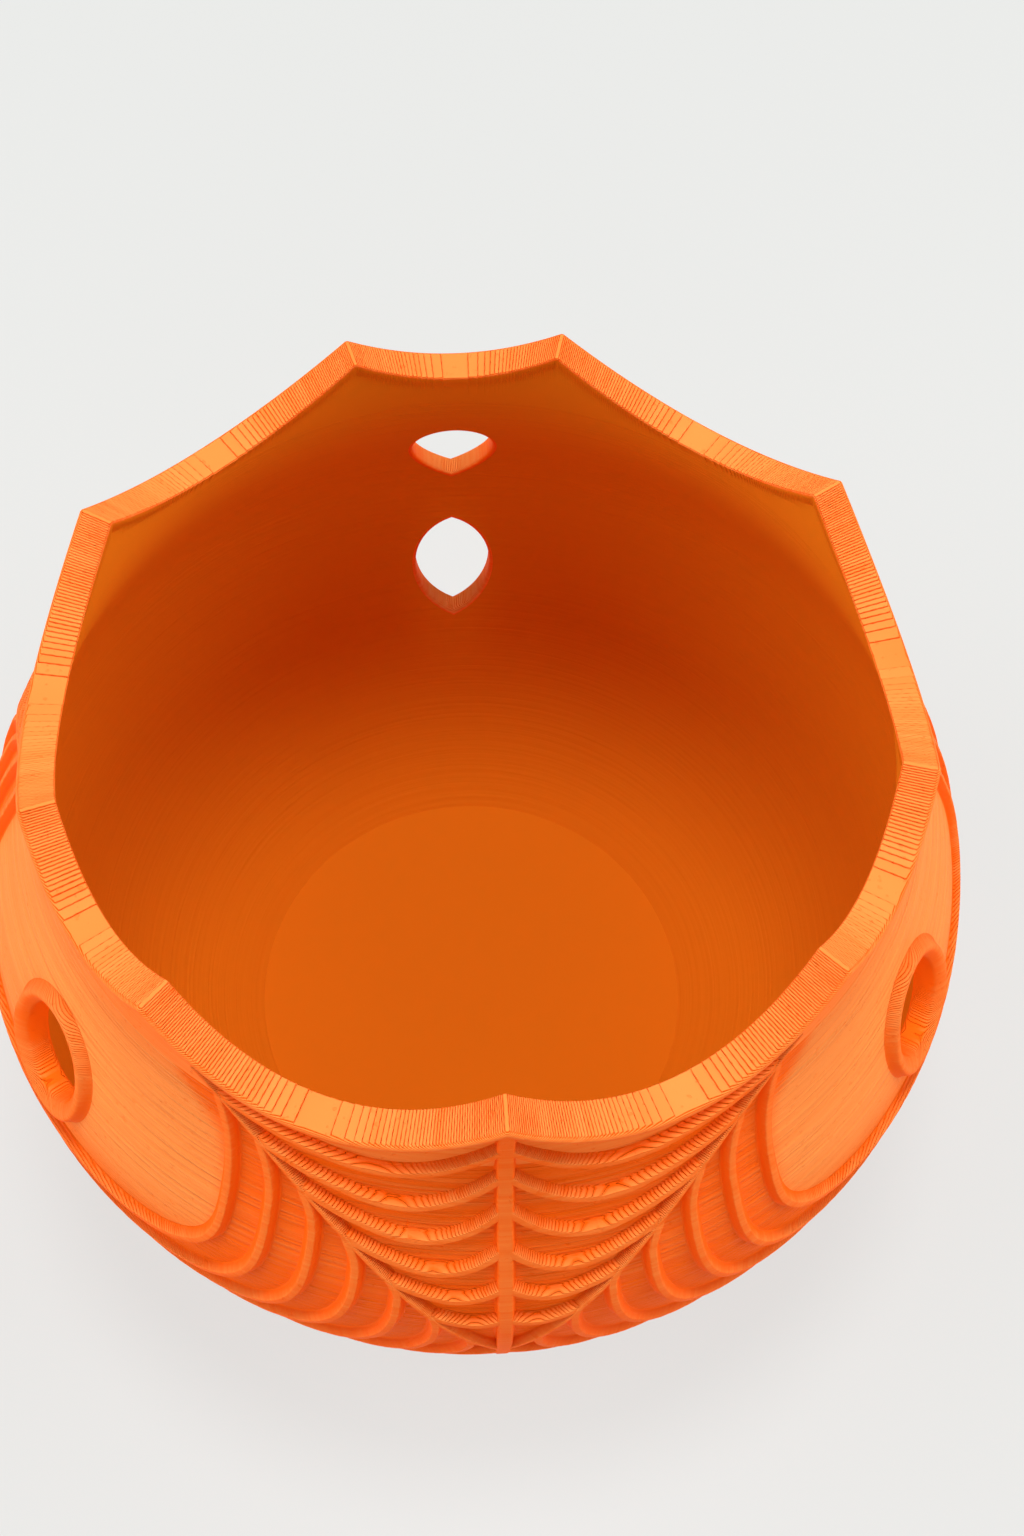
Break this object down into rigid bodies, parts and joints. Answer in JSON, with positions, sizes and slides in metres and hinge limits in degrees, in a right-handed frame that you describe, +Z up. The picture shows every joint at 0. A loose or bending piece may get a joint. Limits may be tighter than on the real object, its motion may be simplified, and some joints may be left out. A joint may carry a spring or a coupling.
{
  "type": "spiderweb vase",
  "caption": "Round bulbous flower vase with a scalloped rim, raised spider web strands around its outside and round collared holes in its shoulder.",
  "frame": {"origin": "centre of the flat base, on the surface that the vase stands on", "axes": "+Z up along the vase's axis, -Y towards the web's front spine, +X to the right seen from the front"},
  "size_m": [0.147, 0.1471, 0.11],
  "materials": {
    "orange_print": "satin printed plastic with fine level layer lines"
  },
  "bodies": {
    "root": {"bowl_wall": "orange_print", "floor_disc": "orange_print", "scalloped_rim": "orange_print", "collar_right": "orange_print", "collar_left": "orange_print", "collar_back": "orange_print", "spine_front": "orange_print", "spine_right": "orange_print", "spine_left": "orange_print", "diagonals_front": "orange_print", "diagonals_right": "orange_print", "diagonals_left": "orange_print", "threads_front": "orange_print", "threads_right": "orange_print", "threads_left": "orange_print", "loops_right": "orange_print", "loops_left": "orange_print", "loops_back": "orange_print", "lower_threads_right": "orange_print", "lower_threads_left": "orange_print", "lower_threads_back": "orange_print"}
  },
  "joints": []
}
